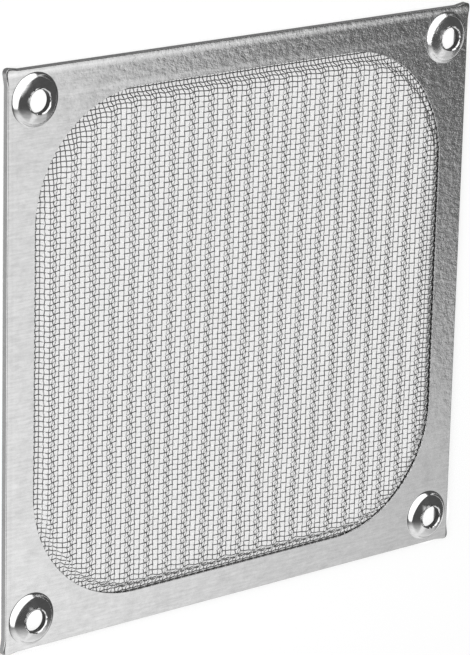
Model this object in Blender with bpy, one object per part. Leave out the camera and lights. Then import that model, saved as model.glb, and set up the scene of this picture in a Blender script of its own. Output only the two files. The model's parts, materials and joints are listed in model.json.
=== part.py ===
# Fan dust filter for a 120 mm fan, lying on its back.
#
# A front sheet and a rear sheet of soft aluminium clamp the edge of a corrugated wire cloth.
# The front sheet's edge is folded round the rear sheet as a flat hem. Both sheets are pressed
# up into a boss at each screw hole, and the rear sheet's collar is drawn through the front
# sheet and flared over, which holds the two together.
#
# Lengths are in metres. +Z is the side that the air meets first, and the hem lies on z = 0.

from math import cos, hypot, pi, radians, sin, sqrt

import bmesh
import bpy

MM = 0.001

# The sheets and what lies between them
SHEET = 0.3 * MM
CLEARANCE = 0.1 * MM
CLOTH_WALL = 0.3 * MM

# The rim round the opening, and the hem that is folded round its outer edge
RIM_WIDTH = 6.5 * MM
OPENING_CORNER_RADIUS = 25.5 * MM
EDGE_LAND = 0.05 * MM
FRAME_CORNER_RADIUS = 1.2 * MM
INNER_FOLD_RADIUS = 0.25 * MM
HEM_WIDTH = 3.2 * MM
GATHER_PROUD = 0.6 * MM
GATHER_REACH = 3.0 * MM

# The pressed bosses and the flared collars
HOLE_PITCH = 105.0 * MM
SCREW_HOLE = 4.6 * MM
BOSS_DIAMETER = 10.9 * MM
BOSS_SHOULDER_DIAMETER = 9.2 * MM
BOSS_SHOULDER_HEIGHT = 0.85 * MM
BOSS_HEIGHT = 1.6 * MM
FLARE_REACH = 0.32 * MM
FLARE_HEIGHT = 0.45 * MM

# The corrugated cloth
CLAMPED_MARGIN = 2.0 * MM
FLUTE_PITCH = 4.79 * MM
FLUTE_SHIFT = -1.4 * MM
FLUTE_HEIGHT = 1.5 * MM
FLUTE_CREST = 0.8 * MM
CLOTH_BULGE = 1.5 * MM
RAMP_START = 0.7 * MM
RAMP_LENGTH = 2.2 * MM
GAP_ROWS = 2
GAP_BAR = 2.4 * MM
LEAST_STEP = 0.5 * MM

# How finely round forms are cut into flats
BOSS_SEGMENTS = 28
OPENING_CORNER_STEPS = 12
FRAME_CORNER_STEPS = 4
BEND_STEPS = 5

# Heights of the stack, from the back of the hem to the front face
REAR_BACK = SHEET + CLEARANCE
REAR_FACE = REAR_BACK + SHEET
CLOTH_MIDDLE = REAR_FACE + CLEARANCE + CLOTH_WALL / 2
FRONT_BACK = REAR_FACE + 2 * CLEARANCE + CLOTH_WALL
FRONT_FACE = FRONT_BACK + SHEET
BEND_RADIUS = FRONT_FACE / 2

# The frame clears the bosses by a narrow land and the bend, and the opening leaves the rim
FRAME_SIDE = HOLE_PITCH + BOSS_DIAMETER + 2 * (EDGE_LAND + BEND_RADIUS)
OPENING_SIDE = FRAME_SIDE - 2 * RIM_WIDTH

COLLAR_RADIUS = SCREW_HOLE / 2 + SHEET


def clear_scene():
    for old in list(bpy.data.objects):
        bpy.data.objects.remove(old, do_unlink=True)


def metal(name, colour, roughness):
    material = bpy.data.materials.new(name)
    material.use_nodes = True
    shader = material.node_tree.nodes["Principled BSDF"]
    shader.inputs["Base Color"].default_value = (*colour, 1.0)
    shader.inputs["Metallic"].default_value = 1.0
    shader.inputs["Roughness"].default_value = roughness
    return material


def rounded_square(half, radius, steps, lead=0.0):
    """Points round a square with arcs at its corners, and one more each side of an arc if lead is set."""
    points = []
    for quarter in range(4):
        turn = quarter * pi / 2
        local = []
        if lead:
            local.append((half, half - radius - lead))
        for step in range(steps + 1):
            angle = pi / 2 * step / steps
            local.append((half - radius + radius * cos(angle), half - radius + radius * sin(angle)))
        if lead:
            local.append((half - radius - lead, half))
        points += [(x * cos(turn) - y * sin(turn), x * sin(turn) + y * cos(turn)) for x, y in local]
    return points


def circle(centre, radius):
    turn = 2 * pi / BOSS_SEGMENTS
    return [(centre[0] + radius * cos(turn * i), centre[1] + radius * sin(turn * i))
            for i in range(BOSS_SEGMENTS)]


class Skin:
    """A closed mesh that is put together from rings of points."""

    def __init__(self):
        self.mesh = bmesh.new()

    def ring(self, points, z):
        return [self.mesh.verts.new((x, y, z)) for x, y in points]

    def bridge(self, rings):
        for lower, upper in zip(rings, rings[1:]):
            for i, corner in enumerate(lower):
                j = (i + 1) % len(lower)
                self.mesh.faces.new((corner, lower[j], upper[j], upper[i]))

    def face(self, rings):
        """A flat face bounded by the first ring, with the other rings as its holes."""
        edges = []
        for ring in rings:
            for i, corner in enumerate(ring):
                joined = (corner, ring[(i + 1) % len(ring)])
                edges.append(self.mesh.edges.get(joined) or self.mesh.edges.new(joined))
        bmesh.ops.triangle_fill(self.mesh, use_beauty=True, use_dissolve=False, edges=edges)

    def finish(self, name, material, sharp_angle=35):
        bmesh.ops.recalc_face_normals(self.mesh, faces=self.mesh.faces)
        data = bpy.data.meshes.new(name)
        self.mesh.to_mesh(data)
        self.mesh.free()
        data.materials.append(material)
        data.shade_smooth()
        data.set_sharp_from_angle(angle=radians(sharp_angle))
        node = bpy.data.objects.new(name, data)
        bpy.context.collection.objects.link(node)
        return node


def hole_centres():
    half = HOLE_PITCH / 2
    return [(half, half), (-half, half), (-half, -half), (half, -half)]


def boss_rise(radius):
    """How far the pressed boss stands above the flat sheet at a distance from its centre."""
    foot = BOSS_DIAMETER / 2
    shoulder = BOSS_SHOULDER_DIAMETER / 2
    if radius >= shoulder:
        share = (foot - radius) / (foot - shoulder)
        return BOSS_SHOULDER_HEIGHT * share * share * (3 - 2 * share)
    share = (shoulder - radius) / (shoulder - COLLAR_RADIUS)
    return BOSS_SHOULDER_HEIGHT + (BOSS_HEIGHT - BOSS_SHOULDER_HEIGHT) * sin(share * pi / 2)


def boss_radii(last):
    """Radii of the rings from the boss's foot, over its shoulder, to the last one."""
    foot = BOSS_DIAMETER / 2
    shoulder = BOSS_SHOULDER_DIAMETER / 2
    radii = [foot + (shoulder - foot) * share for share in (0.0, 0.2, 0.5, 0.8, 1.0)]
    return radii + [(shoulder + last) / 2, last]


def pressed_rings(skin, centre, base, last):
    """One skin of a boss, from its foot at the height base to its last ring."""
    return [skin.ring(circle(centre, radius), base + boss_rise(radius)) for radius in boss_radii(last)]


def gathered(points, share):
    """Push the outline out at its corners, where the hem's metal is gathered as it folds."""
    corner = FRAME_SIDE / 2
    moved = []
    for x, y in points:
        away = hypot(corner - abs(x), corner - abs(y))
        push = GATHER_PROUD * share * max(0.0, 1 - away / GATHER_REACH)
        moved.append((x + push * (1 if x > 0 else -1), y + push * (1 if y > 0 else -1)))
    return moved


def frame_outline(inset, gather=0.0):
    radius = max(FRAME_CORNER_RADIUS - inset, INNER_FOLD_RADIUS)
    lead = GATHER_REACH - FRAME_CORNER_RADIUS
    points = rounded_square(FRAME_SIDE / 2 - inset, radius, FRAME_CORNER_STEPS, lead)
    return gathered(points, gather)


def opening_outline():
    return rounded_square(OPENING_SIDE / 2, OPENING_CORNER_RADIUS, OPENING_CORNER_STEPS)


def bend_rings(skin, radius):
    """Half a turn of the hem's bend, from the front side round to the back."""
    rings = []
    for step in range(BEND_STEPS + 1):
        angle = pi * step / BEND_STEPS
        outline = frame_outline(BEND_RADIUS - radius * sin(angle), sin(angle))
        rings.append(skin.ring(outline, BEND_RADIUS + radius * cos(angle)))
    return rings


def make_front_frame():
    skin = Skin()
    outer_bend = bend_rings(skin, BEND_RADIUS)
    inner_bend = bend_rings(skin, BEND_RADIUS - SHEET)
    hem_end = [skin.ring(frame_outline(HEM_WIDTH), 0.0), skin.ring(frame_outline(HEM_WIDTH), SHEET)]
    skin.bridge(outer_bend + hem_end + inner_bend[::-1])

    opening = [skin.ring(opening_outline(), FRONT_FACE), skin.ring(opening_outline(), FRONT_BACK)]
    skin.bridge(opening)

    front_holes = [outer_bend[0], opening[0]]
    back_holes = [inner_bend[0], opening[1]]
    for centre in hole_centres():
        upper = pressed_rings(skin, centre, FRONT_FACE, COLLAR_RADIUS + CLEARANCE)
        lower = pressed_rings(skin, centre, FRONT_BACK, COLLAR_RADIUS + CLEARANCE)
        skin.bridge(upper + lower[::-1])
        front_holes.append(upper[0])
        back_holes.append(lower[0])
    skin.face(front_holes)
    skin.face(back_holes)
    return skin.finish("front_frame", metal("front_sheet", (0.80, 0.80, 0.80), 0.28))


def collar_rings(skin, centre):
    """The collar, up outside through the front sheet, over the flared lip and down inside."""
    top = FRONT_FACE + BOSS_HEIGHT
    bore = SCREW_HOLE / 2
    section = [
        (COLLAR_RADIUS, top + CLEARANCE),
        (COLLAR_RADIUS + FLARE_REACH, top + FLARE_HEIGHT - SHEET / 2),
        (COLLAR_RADIUS + FLARE_REACH - SHEET / 3, top + FLARE_HEIGHT),
        (bore + SHEET / 3, top + CLEARANCE + SHEET / 2),
        (bore, top),
    ]
    return [skin.ring(circle(centre, radius), z) for radius, z in section]


def make_rear_frame():
    skin = Skin()
    outline = frame_outline(BEND_RADIUS)
    edge = [skin.ring(outline, REAR_FACE), skin.ring(outline, REAR_BACK)]
    opening = [skin.ring(opening_outline(), REAR_FACE), skin.ring(opening_outline(), REAR_BACK)]
    skin.bridge(edge)
    skin.bridge(opening)

    front_holes = [edge[0], opening[0]]
    back_holes = [edge[1], opening[1]]
    for centre in hole_centres():
        upper = pressed_rings(skin, centre, REAR_FACE, COLLAR_RADIUS)
        lower = pressed_rings(skin, centre, REAR_BACK, SCREW_HOLE / 2)
        skin.bridge(upper + collar_rings(skin, centre) + lower[::-1])
        front_holes.append(upper[0])
        back_holes.append(lower[0])
    skin.face(front_holes)
    skin.face(back_holes)
    return skin.finish("rear_frame", metal("rear_sheet", (0.78, 0.78, 0.78), 0.32))


def inside_edge(x, y):
    """Distance from a point in the opening to its edge, negative on the clamped margin."""
    straight = OPENING_SIDE / 2 - OPENING_CORNER_RADIUS
    over_x = max(abs(x) - straight, 0.0)
    over_y = max(abs(y) - straight, 0.0)
    if over_x and over_y:
        return OPENING_CORNER_RADIUS - hypot(over_x, over_y)
    return OPENING_SIDE / 2 - max(abs(x), abs(y))


def reach_at(x, inset):
    """How far the line at an inset from the opening's edge lies from the middle, at x."""
    straight = OPENING_SIDE / 2 - OPENING_CORNER_RADIUS
    radius = OPENING_CORNER_RADIUS - inset
    over = max(abs(x) - straight, 0.0)
    return straight + sqrt(max(radius * radius - over * over, 0.0))


def cloth_height(x, y, crest):
    """Height of the cloth's middle surface; crest is 1 on a flute's top and -1 in its valley."""
    share = min(max((inside_edge(x, y) - RAMP_START) / RAMP_LENGTH, 0.0), 1.0)
    ramp = share * share * (3 - 2 * share)
    return CLOTH_MIDDLE + ramp * (CLOTH_BULGE + crest * FLUTE_HEIGHT / 2)


def flute_columns():
    """Where the folds run, as (x, crest), with the margins' outer lines at both ends."""
    room = OPENING_SIDE / 2 - RAMP_START - RAMP_LENGTH / 2 - FLUTE_CREST / 2
    most = round(OPENING_SIDE / FLUTE_PITCH)
    columns = []
    for fold in range(-most, most + 1):
        middle = FLUTE_SHIFT + fold * FLUTE_PITCH / 2
        crest = -1 if fold % 2 else 1
        if abs(middle) < room:
            columns.append((middle - FLUTE_CREST / 2, crest))
            columns.append((middle + FLUTE_CREST / 2, crest))
    outer = OPENING_SIDE / 2 + CLAMPED_MARGIN
    foot = OPENING_SIDE / 2 - RAMP_START
    return [(-outer, 0), (-foot, 0)] + columns + [(foot, 0), (outer, 0)]


def row_places(x):
    """Places along a fold at x, from end to end: margin, ramp, then the bars between the gaps."""
    ends = [reach_at(x, -CLAMPED_MARGIN)]
    for inset in (RAMP_START, RAMP_START + RAMP_LENGTH / 2, RAMP_START + RAMP_LENGTH):
        ends.append(min(reach_at(x, inset), ends[-1] - LEAST_STEP))
    bars = []
    for bar in range(1, GAP_ROWS):
        middle = ends[-1] * (2 * bar / GAP_ROWS - 1)
        bars += [middle - GAP_BAR / 2, middle + GAP_BAR / 2]
    return [-end for end in ends] + bars + ends[::-1]


def make_filter_mesh():
    columns = flute_columns()
    cloth = bmesh.new()
    grid = []
    for x, crest in columns:
        grid.append([cloth.verts.new((x, y, cloth_height(x, y, crest))) for y in row_places(x)])

    for i, (left, right) in enumerate(zip(grid, grid[1:])):
        flank = abs(columns[i + 1][1] - columns[i][1]) == 2
        last = len(left) - 2
        for j in range(last + 1):
            on_margin = min(j, last - j) < 2
            on_bar = 2 < j < last - 2 and j % 2 == 0
            if on_margin or on_bar or not flank:
                cloth.faces.new((left[j], right[j], right[j + 1], left[j + 1]))

    data = bpy.data.meshes.new("filter_mesh")
    cloth.to_mesh(data)
    cloth.free()
    data.materials.append(metal("wire_cloth", (0.62, 0.62, 0.62), 0.4))
    node = bpy.data.objects.new("filter_mesh", data)
    bpy.context.collection.objects.link(node)
    wall = node.modifiers.new("wall", 'SOLIDIFY')
    wall.thickness = CLOTH_WALL
    wall.offset = 0.0
    wall.use_even_offset = True
    return node


def main():
    clear_scene()
    make_front_frame()
    make_rear_frame()
    make_filter_mesh()


main()
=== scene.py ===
# %% [markdown]
# A dust filter for a 120 mm fan: two thin aluminium sheets with a corrugated wire cloth clamped
# between them. The solids of the part are loaded first and never move. Each one is then replaced
# by a finer piece of the same size, which gets its metal from a node material.

# %% Load the solids
import json
from math import cos, hypot, pi, radians, sin

import bmesh
import bpy
from mathutils import Matrix, Vector


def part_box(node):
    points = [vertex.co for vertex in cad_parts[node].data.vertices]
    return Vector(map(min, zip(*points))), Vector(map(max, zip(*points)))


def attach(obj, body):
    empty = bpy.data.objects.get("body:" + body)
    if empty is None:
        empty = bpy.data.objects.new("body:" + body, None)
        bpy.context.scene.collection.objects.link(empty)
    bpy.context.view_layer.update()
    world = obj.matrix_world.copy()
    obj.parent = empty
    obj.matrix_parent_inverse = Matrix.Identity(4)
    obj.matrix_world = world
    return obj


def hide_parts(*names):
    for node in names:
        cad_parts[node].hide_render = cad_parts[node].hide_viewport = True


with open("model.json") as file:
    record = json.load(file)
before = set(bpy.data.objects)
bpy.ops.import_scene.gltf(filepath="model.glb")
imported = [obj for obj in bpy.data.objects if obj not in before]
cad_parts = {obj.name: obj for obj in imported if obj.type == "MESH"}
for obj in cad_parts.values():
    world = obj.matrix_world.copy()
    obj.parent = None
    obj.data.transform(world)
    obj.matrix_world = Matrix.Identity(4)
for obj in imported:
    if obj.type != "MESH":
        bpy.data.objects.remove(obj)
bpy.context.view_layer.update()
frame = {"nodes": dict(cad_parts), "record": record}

print("solids:", sorted(frame["nodes"]))

# %% [markdown]
# All lengths are in metres, so a millimetre is named once. The heights of the stack come from
# the loaded solids: the rear sheet's lowest point lies one sheet and one clearance above the hem,
# and the front face carries a mount. The rest are the sizes that the sheets are cut to.

# %% Sizes shared by the pieces
MM = 0.001
SHEET = 0.3 * MM
CLEARANCE = 0.1 * MM
RIM_WIDTH = 6.5 * MM
OPENING_CORNER = 25.5 * MM
HOLE_PITCH = 105.0 * MM
HALF_PITCH = HOLE_PITCH / 2
BOSS_DIAMETER = 10.9 * MM
EDGE_LAND = 0.05 * MM

mounts = {mount["name"]: mount for mount in frame["record"]["mounts"]}
FRONT_FACE = mounts["front_rim"]["pos_m"][2]
FRONT_BACK = FRONT_FACE - SHEET
REAR_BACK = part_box("rear_frame")[0].z
REAR_FACE = REAR_BACK + SHEET
CLOTH_MIDDLE = (REAR_FACE + FRONT_BACK) / 2
BEND_RADIUS = FRONT_FACE / 2
FRAME_SIDE = HOLE_PITCH + BOSS_DIAMETER + 2 * (EDGE_LAND + BEND_RADIUS)
OPENING_SIDE = FRAME_SIDE - 2 * RIM_WIDTH
OPENING_STRAIGHT = OPENING_SIDE / 2 - OPENING_CORNER
print("frame side", round(FRAME_SIDE / MM, 2), "opening", round(OPENING_SIDE / MM, 2))
print("front face at", round(FRONT_FACE / MM, 2), "cloth at", round(CLOTH_MIDDLE / MM, 2))

# %% [markdown]
# The photograph looks across the filter from its upper left. The part lies on its back here, so
# the same view is from above: the camera stands over the left edge and looks down to the right.
# Its place and lens come from the four corners of the sheet, and a slight roll squares it up.

# %% Camera
CAMERA_PLACE = Vector((-437.2, 202.7, 528.9)) * MM
CAMERA_AIM = Vector((-2.1, -1.0, 1.5)) * MM
CAMERA_ROLL = radians(1.4)
CAMERA_LENS = 193.9


def add_camera():
    ahead = (CAMERA_AIM - CAMERA_PLACE).normalized()
    level = ahead.cross(Vector((0, 1, 0))).normalized()
    above = level.cross(ahead)
    right = level * cos(CAMERA_ROLL) + above * sin(CAMERA_ROLL)
    up = above * cos(CAMERA_ROLL) - level * sin(CAMERA_ROLL)
    data = bpy.data.cameras.new("camera")
    data.sensor_width = 36
    data.lens = CAMERA_LENS
    camera = bpy.data.objects.new("camera", data)
    turn = Matrix((right, up, -ahead)).transposed().to_4x4()
    camera.matrix_world = Matrix.Translation(CAMERA_PLACE) @ turn
    bpy.context.scene.collection.objects.link(camera)
    bpy.context.scene.camera = camera
    print("camera is", round((CAMERA_AIM - CAMERA_PLACE).length, 3), "m from the filter")


add_camera()

# %% [markdown]
# Node trees are written as sums. A Term wraps one socket, and + - * / on it add the Math node
# for that step, or the Vector Math node if the socket is a vector. The same class serves the
# materials and the Geometry Nodes tree of the cloth, which use the same Math nodes.

# %% Sums on sockets
class Term:
    def __init__(self, tree, socket, vector=False):
        self.tree = tree
        self.socket = socket
        self.vector = vector

    def step(self, operation, *values):
        vector = self.vector or any(isinstance(value, Term) and value.vector for value in values)
        kind = "ShaderNodeVectorMath" if vector else "ShaderNodeMath"
        node = self.tree.nodes.new(kind)
        node.operation = operation
        for socket, value in zip(node.inputs, (self,) + values):
            if isinstance(value, Term):
                self.tree.links.new(value.socket, socket)
            elif vector and not hasattr(value, "__len__"):
                socket.default_value = (value, value, value)
            else:
                socket.default_value = value
        return Term(self.tree, node.outputs[0], vector)

    def __add__(self, other):
        return self.step("ADD", other)

    def __sub__(self, other):
        return self.step("SUBTRACT", other)

    def __mul__(self, other):
        return self.step("MULTIPLY", other)

    def __truediv__(self, other):
        return self.step("DIVIDE", other)

    def __radd__(self, other):
        return self + other

    def __rmul__(self, other):
        return self * other

    def __rsub__(self, other):
        return self * -1 + other

    def sin(self):
        return self.step("SINE")

    def cos(self):
        return self.step("COSINE")

    def root(self):
        return self.step("SQRT")

    def size(self):
        return self.step("ABSOLUTE")

    def sign(self):
        return self.step("SIGN")

    def floor(self):
        return self.step("FLOOR")

    def least(self, other):
        return self.step("MINIMUM", other)

    def most(self, other):
        return self.step("MAXIMUM", other)

    def above(self, other):
        return self.step("GREATER_THAN", other)

    def cross(self, other):
        return self.step("CROSS_PRODUCT", other)

    def unit(self):
        return self.step("NORMALIZE")

    def held(self):
        return self.most(0.0).least(1.0)

    def eased(self):
        """From 0 to 1 with level ends, as a pressed or folded sheet runs."""
        share = self.held()
        return share * share * (3 - 2 * share)


print("a Term has", len([name for name in vars(Term) if not name.startswith("__")]), "plain steps")

# %% [markdown]
# Every other node comes from one method of a Bench: its type, its settings, then the values or
# links of its sockets. Settings come first, because some of them change which sockets there are.

# %% One method for the other nodes
class Bench:
    def __init__(self, tree):
        self.tree = tree

    def add(self, kind, settings=None, sockets=None):
        node = self.tree.nodes.new(kind)
        for name, value in (settings or {}).items():
            setattr(node, name, value)
        for name, value in (sockets or {}).items():
            socket = next((s for s in node.inputs if s.identifier == name), None) or node.inputs[name]
            if isinstance(value, Term):
                self.tree.links.new(value.socket, socket)
            else:
                socket.default_value = value
        return node

    def out(self, node, name=0, vector=False):
        found = next((s for s in node.outputs if s.identifier == name), None) or node.outputs[name]
        return Term(self.tree, found, vector)

    def parts(self, vector):
        split = self.add("ShaderNodeSeparateXYZ", sockets={"Vector": vector})
        return [self.out(split, axis) for axis in "XYZ"]

    def joined(self, x, y, z):
        node = self.add("ShaderNodeCombineXYZ", sockets={"X": x, "Y": y, "Z": z})
        return self.out(node, "Vector", vector=True)

    def noise(self, place, per_metre, detail=2.0, rough=0.5, output="Fac"):
        sockets = {"Vector": place, "Scale": per_metre, "Detail": detail, "Roughness": rough}
        return self.out(self.add("ShaderNodeTexNoise", sockets=sockets), output, output == "Color")

    def show(self, shader, output_kind="ShaderNodeOutputMaterial"):
        output = self.add(output_kind)
        self.tree.links.new(shader.outputs[0], output.inputs["Surface"])


print("one Bench fills one node tree")

# %% [markdown]
# The filter lies on a plain pale floor. What the camera and the metal's reflections see of the
# floor and the world is white by their own colour and not by strong lamps, and the floor still
# takes a share of real light, so the filter's shadow stays on it. Behind the four screw holes the
# photograph shows plain white, so the floor carries four round spots of painted light there that
# glow a little more. They are shifted from the holes, because the camera looks through each hole
# at a slant.

# %% Floor and surroundings
FLOOR_SIZE = 30.0
FLOOR_GLOW = 0.55
FLOOR_LIT = 0.50
FLOOR_PAINT = 0.8
FLOOR_BELOW = 0.02 * MM
HOLE_PAINTED_LIGHT = 0.25
SPOT_SHIFT = Vector((2.0, -1.0)) * MM
SPOT_RADIUS = 6.5 * MM
SPOT_BLUR = 1.0 * MM
SOFT_SKY = 0.62


def seen_directly(bench):
    rays = bench.add("ShaderNodeLightPath")
    direct = [bench.out(rays, name) for name in ("Is Camera Ray", "Is Glossy Ray", "Is Transmission Ray")]
    return (direct[0] + direct[1] + direct[2]).held()


def flat_square(name, half, z):
    data = bpy.data.meshes.new(name)
    corners = [(x * half, y * half, z) for x, y in ((-1, -1), (1, -1), (1, 1), (-1, 1))]
    data.from_pydata(corners, [], [(0, 1, 2, 3)])
    return data


def add_floor():
    material = bpy.data.materials.new("pale_floor")
    material.use_nodes = True
    bench = Bench(material.node_tree)
    bench.tree.nodes.clear()
    paint = bench.add("ShaderNodeBsdfDiffuse", sockets={"Color": (FLOOR_PAINT,) * 3 + (1,)})
    thin_paint = bench.add("ShaderNodeBsdfDiffuse", sockets={"Color": (FLOOR_LIT,) * 3 + (1,)})
    place = bench.out(bench.add("ShaderNodeTexCoord"), "Object", vector=True)
    x, y = bench.parts(place)[:2]
    off_x = (x - SPOT_SHIFT.x).size() - HALF_PITCH
    off_y = (y - SPOT_SHIFT.y).size() - HALF_PITCH
    # Four round spots of painted light on the floor behind the screw holes.
    painted_light_spot = (SPOT_RADIUS - (off_x * off_x + off_y * off_y).root()) / SPOT_BLUR
    glow = bench.add("ShaderNodeEmission", sockets={"Strength": painted_light_spot.held() * HOLE_PAINTED_LIGHT + FLOOR_GLOW})
    pale = bench.add("ShaderNodeAddShader")
    bench.tree.links.new(glow.outputs[0], pale.inputs[0])
    bench.tree.links.new(thin_paint.outputs[0], pale.inputs[1])
    mix = bench.add("ShaderNodeMixShader", sockets={"Fac": seen_directly(bench)})
    bench.tree.links.new(paint.outputs[0], mix.inputs[1])
    bench.tree.links.new(pale.outputs[0], mix.inputs[2])
    bench.show(mix)
    mesh = flat_square("floor", FLOOR_SIZE / 2, -FLOOR_BELOW)
    mesh.materials.append(material)
    floor = bpy.data.objects.new("floor", mesh)
    bpy.context.scene.collection.objects.link(floor)


def add_world():
    world = bpy.data.worlds.new("studio")
    world.use_nodes = True
    bench = Bench(world.node_tree)
    bench.tree.nodes.clear()
    strength = seen_directly(bench) * (1 - SOFT_SKY) + SOFT_SKY
    sky = bench.add("ShaderNodeBackground", sockets={"Color": (1, 1, 1, 1), "Strength": strength})
    bench.show(sky, "ShaderNodeOutputWorld")
    bpy.context.scene.world = world


add_floor()
add_world()
print("floor of", FLOOR_SIZE, "m, sky at", SOFT_SKY)

# %% [markdown]
# Bright metal shows what stands round it, so such a part is photographed inside a tent: a dome of
# cloth with bright and dark fields. Where a flat face mirrors the tent to the camera, a field's
# place on the tent follows from a place on the face, so the tent's fields are written in
# millimetres of the face. Only glossy rays see the tent, and one soft lamp, which only other rays
# see, gives the floor its shadow.

# %% Lamp and cards
SOFTBOX_PLACE = Vector((-0.72, 0.22, 0.66))
SOFTBOX_SIZE = 0.75
SOFTBOX_POWER = 5.5


def add_softbox():
    data = bpy.data.lights.new("softbox", 'AREA')
    data.shape = 'SQUARE'
    data.size = SOFTBOX_SIZE
    data.energy = SOFTBOX_POWER
    lamp = bpy.data.objects.new("softbox", data)
    lamp.location = SOFTBOX_PLACE
    lamp.rotation_mode = 'QUATERNION'
    lamp.rotation_quaternion = SOFTBOX_PLACE.to_track_quat('Z', 'Y')
    lamp.visible_glossy = False
    bpy.context.scene.collection.objects.link(lamp)


def add_card(name, mesh, shade):
    """A card that only glossy rays see; shade(bench, place) gives its brightness at a place."""
    material = bpy.data.materials.new(name)
    material.use_nodes = True
    bench = Bench(material.node_tree)
    bench.tree.nodes.clear()
    place = bench.out(bench.add("ShaderNodeTexCoord"), "Object", vector=True)
    bench.show(bench.add("ShaderNodeEmission", sockets={"Strength": shade(bench, place)}))
    mesh.materials.append(material)
    card = bpy.data.objects.new(name, mesh)
    card.visible_camera = False
    card.visible_diffuse = False
    card.visible_shadow = False
    bpy.context.scene.collection.objects.link(card)


add_softbox()
print("softbox of", SOFTBOX_POWER, "W")

# %% [markdown]
# The tent has four fields. The one that the flat rim mirrors is bright, and falls to dark towards
# the rim's upper right. A white one stands on the camera's side, a pale one along the front, and
# the rest, with the top of the tent, is dark.

# %% Tent
TENT_RADIUS = 3.0
TENT_DARK = 0.09
HORIZON_GUARD = 0.02
RIM_BASE = 0.73
RIM_FALL = Vector((0.0026, 0.0008))
RIM_SPAN = 70.0
RIM_FADE_START = -330.0
RIM_FADE_WIDTH = 150.0
SHADE_START = -10.0
SHADE_WIDTH = 55.0
SHADE_DEPTH = 0.88
SHADE_ACROSS = Vector((0.655, 0.756))
SHADE_OFFSET = 28.5
FRONT_START = 0.36
FRONT_WIDTH = 0.6
FRONT_BRIGHT = 0.85
WHITE_TOWARDS = Vector((-0.68, 0.73))
WHITE_START = 0.13
WHITE_WIDTH = 0.16
WHITE_BRIGHT = 1.45


def tent_shade(bench, place):
    x, y, z = bench.parts(place.unit())
    steep = z.most(HORIZON_GUARD)
    face_x = (x / steep * CAMERA_PLACE.z + CAMERA_PLACE.x) / MM
    face_y = (y / steep * CAMERA_PLACE.z + CAMERA_PLACE.y) / MM
    near_x = face_x.most(-RIM_SPAN).least(RIM_SPAN)
    near_y = face_y.most(-RIM_SPAN).least(RIM_SPAN)
    rim = RIM_BASE - near_x * RIM_FALL.x - near_y * RIM_FALL.y
    across = face_x * SHADE_ACROSS.x + face_y * SHADE_ACROSS.y - SHADE_OFFSET
    dark = ((across - SHADE_START) / SHADE_WIDTH).eased() * SHADE_DEPTH
    kept = ((face_x - RIM_FADE_START) / RIM_FADE_WIDTH).eased()
    front = ((y * -1 - FRONT_START) / FRONT_WIDTH).eased() * FRONT_BRIGHT
    sideways = x * WHITE_TOWARDS.x + y * WHITE_TOWARDS.y
    white = ((sideways - WHITE_START) / WHITE_WIDTH).eased() * WHITE_BRIGHT
    return (rim * (1 - dark) * kept).most(front + white + TENT_DARK)


def dome_mesh(name, radius, columns=48, rows=12):
    mesh = bmesh.new()
    rings = []
    for row in range(rows):
        rise = pi / 2 * row / rows
        rings.append([mesh.verts.new((radius * cos(rise) * cos(2 * pi * i / columns),
                                      radius * cos(rise) * sin(2 * pi * i / columns),
                                      radius * sin(rise))) for i in range(columns)])
    for lower, upper in zip(rings, rings[1:]):
        for i in range(columns):
            j = (i + 1) % columns
            mesh.faces.new((lower[j], lower[i], upper[i], upper[j]))
    mesh.faces.new(rings[-1][::-1])
    data = bpy.data.meshes.new(name)
    mesh.to_mesh(data)
    mesh.free()
    return data


add_card("tent", dome_mesh("tent", TENT_RADIUS), tent_shade)
print("tent of", 2 * TENT_RADIUS, "m across")

# %% [markdown]
# The side walls of the hem and the undersides of the wires mirror the floor close to the filter.
# Under the frame it is in the filter's own shade, and most so behind the far edge. Only glossy
# rays see that as a grey card, which is pale under the open cloth, white a few millimetres out
# from the hem, and dark again far off at the upper right, where the room is dark.

# %% Grey card under the filter
CARD_HALF = 1.9
CARD_BELOW = 0.01 * MM
CARD_OPEN = 0.85
CARD_UNDER = 0.30
CARD_BESIDE = 0.42
CARD_BEHIND = 0.45
CARD_WHITE = 0.95
CARD_HEM_BLUR = 1.5
CARD_OPEN_BLUR = 3.0
CARD_EDGE = 4.0
CARD_OUT = 9.0
CARD_FAR = 75.0
CARD_FAR_TOWARDS = Vector((0.5, 0.87))
CARD_FAR_DEPTH = 0.85


def card_shade(bench, place):
    x, y = bench.parts(place / MM)[:2]
    half = FRAME_SIDE / 2 / MM
    beside = x.size().most(y.size()) - half
    behind = ((y - half) / CARD_HEM_BLUR + 1.0).eased()
    near = CARD_UNDER + (beside / CARD_HEM_BLUR + 1.0).eased() * (CARD_BESIDE - CARD_UNDER)
    near = near * (1 - behind * (1 - CARD_BEHIND))
    under = near + ((-RIM_WIDTH / MM - beside) / CARD_OPEN_BLUR).eased() * (CARD_OPEN - CARD_UNDER)
    out = under + ((beside - CARD_EDGE) / (CARD_OUT - CARD_EDGE)).eased() * (CARD_WHITE - CARD_BESIDE)
    upper_right = x * CARD_FAR_TOWARDS.x + y * CARD_FAR_TOWARDS.y
    far = ((upper_right - CARD_FAR) / CARD_FAR).eased()
    return out * (1 - far * CARD_FAR_DEPTH)


add_card("grey_card", flat_square("grey_card", CARD_HALF, -CARD_BELOW), card_shade)
print("grey card of", 2 * CARD_HALF, "m")
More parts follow.
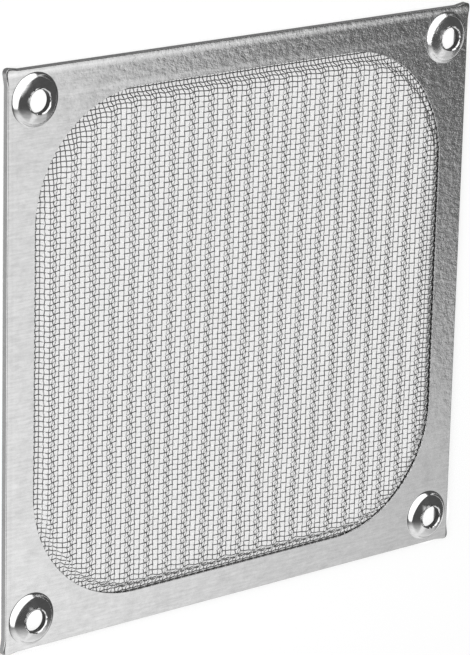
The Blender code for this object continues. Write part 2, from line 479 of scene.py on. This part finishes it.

# %% [markdown]
# Both sheets are rolled aluminium. Rolling leaves fine straight grain, handling leaves a soft
# mottle that bends what the sheet mirrors, and the mill leaves small changes in how sharp it
# mirrors. All of it is noise in Object coordinates, which are true millimetres on the part. The
# metal is more handled towards the upper right. Two scratches, the ring of a tool, the slight
# waves beside the edges and a painted highlight, a lighter line of colour along the top edge, lie
# where the photograph has them, and the bores are darkened with painted shade. Places on the face
# are given in millimetres, and the size of a noise as how many of its spots there are to the metre.

# %% Sheet metal
SHEET_COLOUR = 0.78
SHEET_ROUGHNESS = 0.10
GRAIN = 1 / (0.12 * MM)
GRAIN_STRETCH = (0.06, 1.0, 1.0)
STREAKS = 1 / (0.5 * MM)
STREAK_STRETCH = (0.12, 1.0, 1.0)
STREAK_TONE = 0.26
MOTTLE = 1 / (1.6 * MM)
MOTTLE_STRETCH = (1.0, 1.2, 1.0)
MOTTLE_TONE = 0.22
MOTTLE_ROUGHNESS = 0.08
MOTTLE_LEAST = 0.9
MOTTLE_HANDLED = 4.4
BROAD = MOTTLE / 9
BROAD_DEPTH = 2
CLOUDS = MOTTLE / 2.4
CLOUD_TONE = 0.12
CLOUD_ROUGHNESS = 0.10
CLOUD_LEVEL = 0.4
PITS = 1 / (0.42 * MM)
PIT_LEVEL = 0.60
PIT_DEPTH = 0.05 * MM
HANDLED_START = -10.0
HANDLED_WIDTH = 60.0
HANDLED_ROUGHNESS = 0.05
BORE_EDGE = 2.42
BORE_BLUR = 0.08
BORE_PAINTED_SHADE = 0.2
SCRATCHES = [((-30.3, 56.2), (-28.5, 57.9), 0.2), ((54.6, 29.8), (56.4, 31.7), 0.13)]
SCRATCH_TONE = 0.15
SCRATCH_ROUGHNESS = 0.3
TOOL_MARK = Vector((46.0, 46.1))
TOOL_MARK_RADIUS = 3.0
TOOL_MARK_WIDTH = 0.25
TOOL_MARK_ROUGHNESS = 0.08
TOP_HIGHLIGHT_LINE = 57.9
TOP_HIGHLIGHT_WIDTH = 0.6
TOP_HIGHLIGHT_PAINT = 0.2
TOP_BAND = (57.0, 1.6, 0.09 * MM)
OPENING_BAND = (52.3, 1.4, 0.03 * MM)
LEFT_BAND = (56.8, 1.6, 0.09 * MM)


def metal_base(name):
    material = bpy.data.materials.new(name)
    material.use_nodes = True
    bench = Bench(material.node_tree)
    shader = bench.tree.nodes["Principled BSDF"]
    shader.inputs["Metallic"].default_value = 1.0
    place = bench.out(bench.add("ShaderNodeTexCoord"), "Object", vector=True)
    return material, bench, shader, place


def grey(bench, value):
    node = bench.add("ShaderNodeCombineColor", sockets={"Red": value, "Green": value, "Blue": value})
    return bench.out(node, "Color")


def tie(bench, term, socket):
    bench.tree.links.new(term.socket, socket)


def engrave(bench, height, shader):
    bump = bench.add("ShaderNodeBump", sockets={"Strength": 1.0, "Distance": 1.0, "Height": height})
    tie(bench, bench.out(bump, "Normal"), shader.inputs["Normal"])


def near_line(x, y, start, end, half_width):
    """1 on a straight scratch from start to end, and 0 at half_width from it."""
    run = Vector(end) - Vector(start)
    pace = run / run.length_squared
    share = ((x - start[0]) * pace.x + (y - start[1]) * pace.y).held()
    off_x = x - start[0] - share * run.x
    off_y = y - start[1] - share * run.y
    return (1 - (off_x * off_x + off_y * off_y).root() / half_width).held()


def near_hole(x, y):
    """Distance in millimetres from the middle of the nearest screw hole."""
    off_x = x.size() - HALF_PITCH / MM
    off_y = y.size() - HALF_PITCH / MM
    return (off_x * off_x + off_y * off_y).root()


def wave(place, band):
    """A slight rise of the face past a line; a band has the line's place, its width and its height."""
    start, width, height = band
    return ((place - start) / width).eased() * height


def sheet_metal(name, mottle_depth, grain_depth):
    material, bench, shader, place = metal_base(name)
    x, y = bench.parts(place / MM)[:2]
    handled = ((x * SHADE_ACROSS.x + y * SHADE_ACROSS.y - HANDLED_START) / HANDLED_WIDTH).eased()
    # Painted shade: the base colour is darkened in the screw bores.
    bore = ((BORE_EDGE - near_hole(x, y)) / BORE_BLUR).held()
    grain = bench.noise(place * GRAIN_STRETCH, GRAIN, detail=1.0)
    streaks = bench.noise(place * STREAK_STRETCH, STREAKS, detail=2.0)
    mottle = bench.noise(place * MOTTLE_STRETCH, MOTTLE, detail=4.0, rough=0.62)
    broad = bench.noise(place, BROAD, detail=1.0)
    clouds = bench.noise(place, CLOUDS, detail=2.0)
    pits = (bench.noise(place, PITS, detail=1.0) - PIT_LEVEL).most(0.0)
    lines = [near_line(x, y, start, end, half_width) for start, end, half_width in SCRATCHES]
    scratch = lines[0].most(lines[1])
    off_x = x - TOOL_MARK.x
    off_y = y - TOOL_MARK.y
    around = (off_x * off_x + off_y * off_y).root()
    ring = (1 - (around - TOOL_MARK_RADIUS).size() / TOOL_MARK_WIDTH).held()
    # Painted highlight: a lighter line of base colour along the top edge.
    painted_top_highlight = (1 - (y - TOP_HIGHLIGHT_LINE).size() / TOP_HIGHLIGHT_WIDTH).held()

    tone = SHEET_COLOUR - MOTTLE_TONE * (mottle - 0.5) - CLOUD_TONE * (clouds - 0.5)
    tone = tone + STREAK_TONE * (streaks - 0.5)
    # Scratches are real wear; the top line adds a painted highlight.
    tone = tone + scratch * SCRATCH_TONE + painted_top_highlight * TOP_HIGHLIGHT_PAINT
    # The bores' base colour carries painted shade.
    tie(bench, grey(bench, tone * (1 - bore * (1 - BORE_PAINTED_SHADE))), shader.inputs["Base Color"])

    worn = scratch * SCRATCH_ROUGHNESS + ring * TOOL_MARK_ROUGHNESS + handled * HANDLED_ROUGHNESS
    milled = CLOUD_ROUGHNESS * (clouds - CLOUD_LEVEL) + MOTTLE_ROUGHNESS * (mottle - 0.5)
    tie(bench, SHEET_ROUGHNESS + worn + milled, shader.inputs["Roughness"])

    height = mottle * (MOTTLE_LEAST + handled * MOTTLE_HANDLED) * mottle_depth + grain * grain_depth
    height = height + broad * (mottle_depth * BROAD_DEPTH) - pits * handled * PIT_DEPTH
    height = height + wave(y, TOP_BAND) + wave(y, OPENING_BAND) - wave(x * -1, LEFT_BAND)
    engrave(bench, height, shader)
    return material


front_metal = sheet_metal("front_sheet_metal", 0.011 * MM, 0.0010 * MM)
rear_metal = sheet_metal("rear_sheet_metal", 0.007 * MM, 0.0006 * MM)
print("sheet metals:", front_metal.name, rear_metal.name)

# %% [markdown]
# Each sheet is one closed skin: rings of points that are bridged into walls, and flat faces that
# are filled between an outer ring and the holes in it. A second ring close beside each edge of a
# flat face keeps that face's shading level, so a round edge beside it doesn't smear across it.

# %% Rings, walls and flat faces
SHARP_ANGLE = 40


def triangles(data):
    return sum(len(face.vertices) - 2 for face in data.polygons)


class Skin:
    def __init__(self):
        self.mesh = bmesh.new()

    def ring(self, points, z):
        return [self.mesh.verts.new((x, y, z)) for x, y in points]

    def bridge(self, rings):
        for lower, upper in zip(rings, rings[1:]):
            for i, corner in enumerate(lower):
                j = (i + 1) % len(lower)
                self.mesh.faces.new((corner, lower[j], upper[j], upper[i]))

    def fill(self, rings):
        edges = []
        for ring in rings:
            for i, corner in enumerate(ring):
                joined = (corner, ring[(i + 1) % len(ring)])
                edges.append(self.mesh.edges.get(joined) or self.mesh.edges.new(joined))
        bmesh.ops.triangle_fill(self.mesh, use_beauty=True, use_dissolve=False, edges=edges)

    def finish(self, name, material):
        bmesh.ops.recalc_face_normals(self.mesh, faces=self.mesh.faces)
        data = bpy.data.meshes.new(name)
        self.mesh.to_mesh(data)
        self.mesh.free()
        data.materials.append(material)
        data.shade_smooth()
        data.set_sharp_from_angle(angle=radians(SHARP_ANGLE))
        piece = bpy.data.objects.new(name, data)
        bpy.context.scene.collection.objects.link(piece)
        print(name, "has", triangles(data), "triangles")
        return piece


def hand_over(piece, slot, *nodes):
    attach(piece, "root")
    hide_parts(*nodes)


print("flat faces meet at a sharp edge from", SHARP_ANGLE, "degrees")

# %% [markdown]
# The outline of the frame is a square with small corners. Folding the hem gathers the metal at
# each corner into a small ear, so the outline is pushed out there, most at the middle of the bend.

# %% Outlines
CORNER_RADIUS = 1.2 * MM
INNER_FOLD_RADIUS = 0.25 * MM
HEM_WIDTH = 2.5 * MM
EAR_PROUD = 0.6 * MM
EAR_REACH = 3.0 * MM
EAR_STEPS = 8
CORNER_STEPS = 8
OPENING_STEPS = 40
GUARD = 0.02 * MM


def corner_points(half, radius, steps, leads=()):
    """Points round a square with arcs at its corners, and extra ones at the leads beside each arc."""
    points = []
    for quarter in range(4):
        turn = quarter * pi / 2
        local = [(half, half - radius - lead) for lead in reversed(leads)]
        for step in range(steps + 1):
            angle = pi / 2 * step / steps
            local.append((half - radius + radius * cos(angle), half - radius + radius * sin(angle)))
        local += [(half - radius - lead, half) for lead in leads]
        points += [(x * cos(turn) - y * sin(turn), x * sin(turn) + y * cos(turn)) for x, y in local]
    return points


def eared(points, share):
    corner = FRAME_SIDE / 2
    moved = []
    for x, y in points:
        near = max(0.0, 1 - hypot(corner - abs(x), corner - abs(y)) / EAR_REACH)
        push = EAR_PROUD * share * near
        moved.append((x + push * (1 if x > 0 else -1), y + push * (1 if y > 0 else -1)))
    return moved


def frame_outline(inset, ear=0.0):
    radius = max(CORNER_RADIUS - inset, INNER_FOLD_RADIUS)
    reach = EAR_REACH - CORNER_RADIUS
    leads = [reach * (step + 1) / EAR_STEPS for step in range(EAR_STEPS)]
    return eared(corner_points(FRAME_SIDE / 2 - inset, radius, CORNER_STEPS, leads), ear)


def opening_outline(spread=0.0):
    return corner_points(OPENING_SIDE / 2 + spread, OPENING_CORNER + spread, OPENING_STEPS)


print("outline points:", len(frame_outline(0.0)), "opening points:", len(opening_outline()))

# %% [markdown]
# Round each screw hole both sheets are pressed up together: a steep outer slope, a crisp
# shoulder, then a shallow cone up to the hole. The rear sheet's collar comes up through the front
# sheet and is flared over it. Flaring thin metal splits its lip, so a few narrow notches are cut
# into each lip, at angles chosen from the photograph.

# %% Bosses and collars
SCREW_HOLE = 4.6 * MM
COLLAR_RADIUS = SCREW_HOLE / 2 + SHEET
SHOULDER_DIAMETER = 9.2 * MM
SHOULDER_HEIGHT = 0.85 * MM
SHOULDER_ROUND = 0.12 * MM
BOSS_HEIGHT = 1.6 * MM
FLARE_REACH = 0.17 * MM
FLARE_HEIGHT = 0.36 * MM
SLOPE_BULGE = 0.6
CONE_BULGE = 0.35
BOSS_SEGMENTS = 144
SLOPE_STEPS = 10
CONE_STEPS = 6
NOTCH_WIDTH = 5.0
NOTCH_LEFT = 0.1
LIP_MEAN = 0.62
LIP_COARSE = 0.2
LIP_FINE = 0.18
BOSSES = [
    {"name": "upper right", "at": (HALF_PITCH, HALF_PITCH), "notches": (-52, -18, 8, 34, 71, 190)},
    {"name": "upper left", "at": (-HALF_PITCH, HALF_PITCH), "notches": (-8, 22, 118, 250)},
    {"name": "lower left", "at": (-HALF_PITCH, -HALF_PITCH), "notches": (-35, 12, 96, 222, 236)},
    {"name": "lower right", "at": (HALF_PITCH, -HALF_PITCH), "notches": (-62, -40, 15, 140, 262)},
]


def circle(centre, radius):
    turn = 2 * pi / BOSS_SEGMENTS
    return [(centre[0] + radius * cos(turn * i), centre[1] + radius * sin(turn * i))
            for i in range(BOSS_SEGMENTS)]


def boss_rise(radius):
    """How high the pressed metal stands at a distance from the middle of its hole."""
    foot = BOSS_DIAMETER / 2
    shoulder = SHOULDER_DIAMETER / 2
    if radius >= foot:
        return 0.0
    if radius >= shoulder:
        share = (foot - radius) / (foot - shoulder)
        return SHOULDER_HEIGHT * share * share * (1 + SLOPE_BULGE - SLOPE_BULGE * share)
    share = (shoulder - radius) / (shoulder - COLLAR_RADIUS)
    cone = share * (1 + CONE_BULGE - CONE_BULGE * share)
    return SHOULDER_HEIGHT + (BOSS_HEIGHT - SHOULDER_HEIGHT) * cone


def boss_radii(last):
    """The distances at which a boss gets its rings, from its foot to the last one at the hole."""
    foot = BOSS_DIAMETER / 2
    shoulder = SHOULDER_DIAMETER / 2
    slope = [foot + (shoulder - foot) * step / SLOPE_STEPS for step in range(SLOPE_STEPS)]
    ridge = [shoulder + SHOULDER_ROUND / 2, shoulder - SHOULDER_ROUND / 2]
    cone = [shoulder + (last - shoulder) * (step + 1) / CONE_STEPS for step in range(CONE_STEPS)]
    return [foot + GUARD] + slope + ridge + cone


def pressed_rings(skin, centre, base, last):
    return [skin.ring(circle(centre, radius), base + boss_rise(radius)) for radius in boss_radii(last)]


def lip_share(angle, notches):
    """How much of the flared lip is left at an angle in degrees: an uneven edge, with notches."""
    coarse = LIP_COARSE * sin(radians(angle * 5 + notches[0] * 7))
    fine = LIP_FINE * sin(radians(angle * 11 + 40))
    left = LIP_MEAN + coarse + fine
    for notch in notches:
        away = abs((angle - notch + 180) % 360 - 180)
        left = min(left, NOTCH_LEFT + (1 - NOTCH_LEFT) * min(1.0, (away / NOTCH_WIDTH) ** 2))
    return left


def collar_rings(skin, boss):
    """Rings round the lip; a row has a radius, a height, and the reach and lift of a whole lip."""
    top = FRONT_FACE + BOSS_HEIGHT
    seat = top + CLEARANCE
    bore = SCREW_HOLE / 2
    full_lift = FLARE_HEIGHT - CLEARANCE
    section = [
        (COLLAR_RADIUS, seat, 0.0, 0.0),
        (COLLAR_RADIUS + 0.03 * MM, seat, 0.25 * FLARE_REACH, 0.12 * MM),
        (COLLAR_RADIUS + 0.03 * MM, seat, FLARE_REACH - 0.03 * MM, 0.16 * MM),
        (COLLAR_RADIUS, seat, FLARE_REACH - 0.04 * MM, full_lift - 0.03 * MM),
        (bore + 0.22 * MM, seat, 0.12 * MM, full_lift),
        (bore + 0.10 * MM, top, 0.08 * MM, 0.22 * MM),
        (bore + 0.03 * MM, top, 0.03 * MM, 0.10 * MM),
        (bore, top - 0.1 * MM, 0.0, 0.0),
    ]
    rings = []
    for radius, height, reach, lift in section:
        ring = []
        for i in range(BOSS_SEGMENTS):
            turn = 2 * pi * i / BOSS_SEGMENTS
            left = lip_share(360 * i / BOSS_SEGMENTS, boss["notches"])
            out = radius + reach * left
            x = boss["at"][0] + out * cos(turn)
            y = boss["at"][1] + out * sin(turn)
            ring.append(skin.mesh.verts.new((x, y, height + lift * left)))
        rings.append(ring)
    return rings


print("rings in a boss:", len(boss_radii(COLLAR_RADIUS)))
print("notches:", {boss["name"]: len(boss["notches"]) for boss in BOSSES})

# %% [markdown]
# The front sheet carries the hem: from its flat face the outline turns down in a tight bend, runs
# straight down as a low wall, and turns again to run back flat over the rear sheet. The cut edge
# of the opening is broken a little, as a punched edge is, so it catches a thin line of light.

# %% Front sheet
OUTER_BEND = 0.16 * MM
INNER_BEND = 0.04 * MM
FOLD_STEPS = 6
EDGE_BREAK = 0.03 * MM


def bend_rings(skin, layer, radius):
    """Rings over the upper bend and the lower one; the wall is bridged between the two."""
    rings = []
    inset = layer + radius
    for middle, start in ((FRONT_FACE - inset, 0), (inset, FOLD_STEPS)):
        for step in range(start, start + FOLD_STEPS + 1):
            angle = pi / 2 * step / FOLD_STEPS
            outline = frame_outline(inset - radius * sin(angle), sin(angle))
            rings.append(skin.ring(outline, middle + radius * cos(angle)))
    return rings


def opening_rings(skin, top, bottom):
    section = [(EDGE_BREAK + GUARD, top), (EDGE_BREAK, top), (EDGE_BREAK / 3, top - EDGE_BREAK / 3),
               (0.0, top - EDGE_BREAK), (0.0, bottom)]
    return [skin.ring(opening_outline(spread), z) for spread, z in section]


def make_front_sheet():
    skin = Skin()
    face_edge = skin.ring(frame_outline(OUTER_BEND + GUARD), FRONT_FACE)
    back_edge = skin.ring(frame_outline(SHEET + INNER_BEND + GUARD), FRONT_BACK)
    hem_end = [skin.ring(frame_outline(HEM_WIDTH), 0.0), skin.ring(frame_outline(HEM_WIDTH), SHEET)]
    outer = [face_edge] + bend_rings(skin, 0.0, OUTER_BEND)
    inner = bend_rings(skin, SHEET, INNER_BEND)[::-1] + [back_edge]
    skin.bridge(outer + hem_end + [inner[0]])
    skin.bridge(inner)
    opening = opening_rings(skin, FRONT_FACE, FRONT_BACK)
    skin.bridge(opening)
    face_holes = [face_edge, opening[0]]
    back_holes = [back_edge, opening[-1]]
    for boss in BOSSES:
        upper = pressed_rings(skin, boss["at"], FRONT_FACE, COLLAR_RADIUS + CLEARANCE)
        lower = pressed_rings(skin, boss["at"], FRONT_BACK, COLLAR_RADIUS + CLEARANCE)
        skin.bridge(upper + lower[::-1])
        face_holes.append(upper[0])
        back_holes.append(lower[0])
    skin.fill(face_holes)
    skin.fill(back_holes)
    return skin.finish("front_sheet", front_metal)


hand_over(make_front_sheet(), "front_sheet", "front_frame")

# %% [markdown]
# The rear sheet lies inside the hem. It has the same opening and the same bosses, nested under
# the front ones, and its collars are the bright rings that show round the screw holes.

# %% Rear sheet
def make_rear_sheet():
    skin = Skin()
    outline = frame_outline(BEND_RADIUS)
    guard = frame_outline(BEND_RADIUS + GUARD)
    edge = [skin.ring(guard, REAR_FACE), skin.ring(outline, REAR_FACE), skin.ring(outline, REAR_BACK),
            skin.ring(guard, REAR_BACK)]
    skin.bridge(edge)
    opening = [skin.ring(opening_outline(GUARD), REAR_FACE), skin.ring(opening_outline(), REAR_FACE),
               skin.ring(opening_outline(), REAR_BACK), skin.ring(opening_outline(GUARD), REAR_BACK)]
    skin.bridge(opening)
    face_holes = [edge[0], opening[0]]
    back_holes = [edge[-1], opening[-1]]
    for boss in BOSSES:
        upper = pressed_rings(skin, boss["at"], REAR_FACE, COLLAR_RADIUS)
        lower = pressed_rings(skin, boss["at"], REAR_BACK, SCREW_HOLE / 2)
        skin.bridge(upper + collar_rings(skin, boss) + lower[::-1])
        face_holes.append(upper[0])
        back_holes.append(lower[0])
    skin.fill(face_holes)
    skin.fill(back_holes)
    return skin.finish("rear_sheet", rear_metal)


hand_over(make_rear_sheet(), "rear_sheet", "rear_frame")

# %% [markdown]
# The cloth is plain-woven wire. Each wire goes over one crossing wire and under the next, the
# woven sheet is folded into upright flutes, and its margin is pressed flat between the sheets.
# Its shape follows a rule, so Geometry Nodes make it: a grid gives one line of points for each
# wire, a formula places each point on the folded cloth and to one side of it, and a thin
# six-sided tube is swept along each line.

# %% Sizes of the cloth
WIRE = 0.225 * MM
FLUTE_PITCH = 4.79 * MM
FLUTE_SHIFT = -1.8 * MM
WARPS_A_FLUTE = 5
WEFT_PITCH = 1.075 * MM
CLAMPED_MARGIN = 2.0 * MM
CLOTH_BULGE = 1.60 * MM
FLUTE_SWING = 0.45 * MM
RAMP_START = 0.7 * MM
RAMP_LENGTH = 2.2 * MM
RAMP_PULL = 0.9 * MM
CROSSING_HALF = 0.22
WANDER = 0.16 * MM
WANDER_SIZE = 11.0 * MM
TREMBLE = 0.035 * MM
TREMBLE_SIZE = 2.2 * MM
TREMBLE_HEIGHT = 7.0 * MM
SMALL_STEP = 0.05
ROUNDING = 0.001
WIRE_SIDES = 6
EDGE_FADE = 1.2 * MM
FLANK_SHARE = 0.42
WEFT_BIAS = 0.13
EDGE_BIAS = 0.70
FALL_FROM = 0.30
reach = OPENING_SIDE / 2 + CLAMPED_MARGIN + RAMP_PULL
warp_half = int(reach / (FLUTE_PITCH / WARPS_A_FLUTE)) + 3
weft_half = int(reach / WEFT_PITCH) + 2
print("warp wires:", 2 * warp_half + 1, "weft wires:", 2 * weft_half + 1)

# %% [markdown]
# The formula is written once as a plain function on Terms and is used three times: at the point
# itself and a small step along each way of the weave. The two steps give the cloth's own normal,
# and the wire is lifted along that, over or under the wire it crosses.

# %% Where a crossing lies on the folded cloth
def past_straight(x, y):
    """How far a place lies past the straight middles of the opening's sides: in x, in y and in all."""
    over_x = (x.size() - OPENING_STRAIGHT).most(0.0)
    over_y = (y.size() - OPENING_STRAIGHT).most(0.0)
    return over_x, over_y, (over_x * over_x + over_y * over_y).root()


def cloth_point(bench, warp, weft):
    """Place of the cloth's middle surface, from a warp number and a weft number."""
    phase = warp / WARPS_A_FLUTE
    x = phase * FLUTE_PITCH + FLUTE_SHIFT
    y = weft * WEFT_PITCH
    wander = bench.noise(bench.joined(x, y, 0.0), 1 / WANDER_SIZE, detail=1.0, output="Color")
    apart = bench.joined(x, y, TREMBLE_HEIGHT)
    tremble = bench.noise(apart, 1 / TREMBLE_SIZE, detail=0.0, output="Color")
    drift = (wander - 0.5) * (2 * WANDER) + (tremble - 0.5) * (2 * TREMBLE)
    drift_x, drift_y, drift_z = bench.parts(drift)
    x = x + drift_x
    y = y + drift_y
    over_x, over_y, away = past_straight(x, y)
    away = away.most(0.001 * MM)
    rise = ((OPENING_CORNER + RAMP_PULL - away - RAMP_START) / (RAMP_LENGTH + RAMP_PULL)).eased()
    draw = (away - (1 - rise) * RAMP_PULL) / away
    placed_x = (x.size().least(OPENING_STRAIGHT) + over_x * draw) * x.sign()
    placed_y = (y.size().least(OPENING_STRAIGHT) + over_y * draw) * y.sign()
    crest = (phase * 2 * pi).cos()
    z = CLOTH_MIDDLE + rise * (CLOTH_BULGE + crest * FLUTE_SWING + drift_z)
    return bench.joined(placed_x, placed_y, z)


print("flutes across the opening:", round(OPENING_SIDE / FLUTE_PITCH, 1))

# %% [markdown]
# The tree below does three jobs. It lays out numbered points and places them with the formula. It
# cuts the grid into single wires and drops what lies outside the clamped margin. Then it notes on
# each point how steeply its wire climbs, which sets the metal's painted sheen and painted shade,
# and sweeps the tubes.

# %% The tree that weaves one set of wires
def weave_tree():
    tree = bpy.data.node_groups.new("woven wires", 'GeometryNodeTree')
    bench = Bench(tree)
    names = [("Wires", 'NodeSocketInt'), ("First wire", 'NodeSocketInt'), ("Points", 'NodeSocketInt'),
             ("First crossing", 'NodeSocketInt'), ("Along the weft", 'NodeSocketFloat'),
             ("Wire diameter", 'NodeSocketFloat'), ("Metal", 'NodeSocketMaterial')]
    for name, kind in names:
        tree.interface.new_socket(name, in_out='INPUT', socket_type=kind)
    tree.interface.new_socket("Wires made", in_out='OUTPUT', socket_type='NodeSocketGeometry')
    given = tree.nodes.new("NodeGroupInput")
    entry = {name: bench.out(given, name) for name, kind in names}

    lines = bench.add("GeometryNodeMeshGrid",
                      sockets={"Vertices X": entry["Wires"], "Vertices Y": entry["Points"]})
    index = bench.out(bench.add("GeometryNodeInputIndex"))
    row = (index / entry["Points"] + ROUNDING).floor()
    step = index - row * entry["Points"]
    wire = row + entry["First wire"]
    crossing = (step / 2 + ROUNDING).floor()
    side_step = (step - crossing * 2) * (2 * CROSSING_HALF) - CROSSING_HALF
    crossing = crossing + entry["First crossing"]
    flag = entry["Along the weft"]
    along = crossing + side_step
    warp = along * flag + wire * (1 - flag)
    weft = wire * flag + along * (1 - flag)

    here = cloth_point(bench, warp, weft)
    aside = cloth_point(bench, warp + SMALL_STEP, weft)
    ahead = cloth_point(bench, warp, weft + SMALL_STEP)
    normal = (aside - here).cross(ahead - here).unit()
    over = ((crossing + wire) * pi).cos() * (1 - flag * 2)
    lift = bench.add("ShaderNodeVectorMath", {"operation": 'SCALE'},
                     {"Vector": normal, "Scale": over * (entry["Wire diameter"] / 2)})
    place = here + bench.out(lift, "Vector", vector=True)

    placed = bench.add("GeometryNodeSetPosition",
                       sockets={"Geometry": bench.out(lines, "Mesh"), "Position": place})
    # the points of one wire have numbers 1 apart, and the grid's other edges tie wires and are cut
    ends = bench.add("GeometryNodeInputMeshEdgeVertices")
    apart = (bench.out(ends, "Vertex Index 1") - bench.out(ends, "Vertex Index 2")).size()
    cut = bench.add("GeometryNodeDeleteGeometry", {"domain": 'EDGE', "mode": 'EDGE_FACE'},
                    {"Geometry": bench.out(placed, "Geometry"), "Selection": apart.above(1.5)})
    at_x, at_y = bench.parts(bench.out(bench.add("GeometryNodeInputPosition"), 0, True))[:2]
    away = past_straight(at_x, at_y)[2]
    beyond = away.above(OPENING_CORNER + CLAMPED_MARGIN)
    trimmed = bench.add("GeometryNodeDeleteGeometry", {"domain": 'POINT', "mode": 'ALL'},
                        {"Geometry": bench.out(cut, "Geometry"), "Selection": beyond})
    curves = bench.add("GeometryNodeMeshToCurve", sockets={"Mesh": bench.out(trimmed, "Geometry")})

    # The climb noted here sets where the wire metal paints sheen and where it paints shade.
    run_x, run_y, run_z = bench.parts(bench.out(bench.add("GeometryNodeInputTangent"), 0, True))
    onward = run_x * flag + run_y * (1 - flag)
    climb = run_z * onward.sign()
    edge = 1 - ((OPENING_CORNER - away - RAMP_LENGTH - RAMP_PULL) / EDGE_FADE).eased()
    flank = ((at_x - FLUTE_SHIFT) * (2 * pi / FLUTE_PITCH)).sin() * FLANK_SHARE * (1 - edge)
    weft_climb = (climb + flank - WEFT_BIAS - edge * EDGE_BIAS).most(climb * -1 - FALL_FROM)
    climb = climb * (1 - flag) + weft_climb * flag
    noted = bench.add("GeometryNodeStoreNamedAttribute", {"data_type": 'FLOAT', "domain": 'POINT'},
                      {"Geometry": bench.out(curves, "Curve"), "Name": "climb", "Value": climb})
    ring = bench.add("GeometryNodeCurvePrimitiveCircle",
                     sockets={"Resolution": WIRE_SIDES, "Radius": entry["Wire diameter"] / 2})
    tubes = bench.add("GeometryNodeCurveToMesh", sockets={"Curve": bench.out(noted, "Geometry"),
                      "Profile Curve": bench.out(ring, "Curve"), "Fill Caps": True})
    smooth = bench.add("GeometryNodeSetShadeSmooth", sockets={"Geometry": bench.out(tubes, "Mesh")})
    real = bench.add("GeometryNodeRealizeInstances", sockets={"Geometry": bench.out(smooth, "Geometry")})
    clad = bench.add("GeometryNodeSetMaterial",
                     sockets={"Geometry": bench.out(real, "Geometry"), "Material": entry["Metal"]})
    made = tree.nodes.new("NodeGroupOutput")
    tree.links.new(clad.outputs[0], made.inputs[0])
    print("weaving tree has", len(tree.nodes), "nodes")
    return tree


# %% [markdown]
# The wire is drawn aluminium and duller than the sheets. Its colour carries painted sheen and
# painted shade: a wire is painted pale where it climbs and dark where it falls. The tree has
# noted that climb on each point. It counts a weft's climb against the flank of the flute that the
# weft crosses, and calls a steep fall bright again. Grime changes the tone from place to place.

# %% Wire metal
WIRE_PAINTED_SHEEN = 0.88
WIRE_PAINTED_SHADE = 0.17
CLIMB_FROM = -0.03
CLIMB_OVER = 0.12
GRIME = 1 / (6 * MM)
GRIME_SHARE = 0.12
SPECKS = 1 / (0.35 * MM)
SPECK_SHARE = 0.2
WIRE_ROUGHNESS = 0.22
DRAW_MARKS = 1 / (0.08 * MM)
DRAW_STRETCH = (1.0, 1.0, 3.0)
DRAW_DEPTH = 0.0015 * MM


def wire_metal():
    material, bench, shader, place = metal_base("drawn_wire")
    grime = bench.noise(place, GRIME, detail=2.0)
    specks = bench.noise(place, SPECKS, detail=1.0)
    climb = bench.out(bench.add("ShaderNodeAttribute", {"attribute_name": "climb"}), "Fac")
    climb = climb + GRIME_SHARE * (grime - 0.5)
    # Painted sheen and painted shade: the base colour is pale where the wire climbs and dark where it
    # falls.
    painted_sheen = ((climb - CLIMB_FROM) / CLIMB_OVER).eased()
    tone = WIRE_PAINTED_SHADE + painted_sheen * (WIRE_PAINTED_SHEEN - WIRE_PAINTED_SHADE + SPECK_SHARE * (specks - 0.5))
    tie(bench, grey(bench, tone), shader.inputs["Base Color"])
    tie(bench, WIRE_ROUGHNESS + SPECK_SHARE * (specks - 0.5), shader.inputs["Roughness"])
    engrave(bench, bench.noise(place * DRAW_STRETCH, DRAW_MARKS, detail=1.0) * DRAW_DEPTH, shader)
    return material


cloth_metal = wire_metal()
print("wire metal:", cloth_metal.name)

# %% [markdown]
# One tree makes both ways of the weave. Each way is made in two halves, so that no single piece
# grows too large, and each half becomes a plain mesh of its own.

# %% Weave the cloth
def weave(name, wires, first_wire, crossings_half, along_weft):
    mesh = bpy.data.meshes.new(name + "_start")
    host = bpy.data.objects.new(name + "_start", mesh)
    bpy.context.scene.collection.objects.link(host)
    modifier = host.modifiers.new("weave", 'NODES')
    modifier.node_group = weaving
    values = {"Wires": wires, "First wire": first_wire, "Points": 2 * (2 * crossings_half + 1),
              "First crossing": -crossings_half, "Along the weft": 1.0 if along_weft else 0.0,
              "Wire diameter": WIRE, "Metal": cloth_metal}
    for socket in weaving.interface.items_tree:
        if socket.name in values:
            modifier[socket.identifier] = values[socket.name]
    evaluated = host.evaluated_get(bpy.context.evaluated_depsgraph_get())
    data = bpy.data.meshes.new_from_object(evaluated)
    data.name = name
    bpy.data.objects.remove(host, do_unlink=True)
    piece = bpy.data.objects.new(name, data)
    bpy.context.scene.collection.objects.link(piece)
    print(name, "has", triangles(data), "triangles")
    return piece


weaving = weave_tree()
for name, wires, first, crossings, along_weft in (
    ("warp_left", warp_half, -warp_half, weft_half, False),
    ("warp_right", warp_half + 1, 0, weft_half, False),
    ("weft_lower", weft_half, -weft_half, warp_half, True),
    ("weft_upper", weft_half + 1, 0, warp_half, True),
):
    hand_over(weave(name, wires, first, crossings, along_weft), "wire_cloth", "filter_mesh")

# %% [markdown]
# Last, the view settings stay plain.

# %% Finish
bpy.context.scene.view_settings.view_transform = 'Standard'
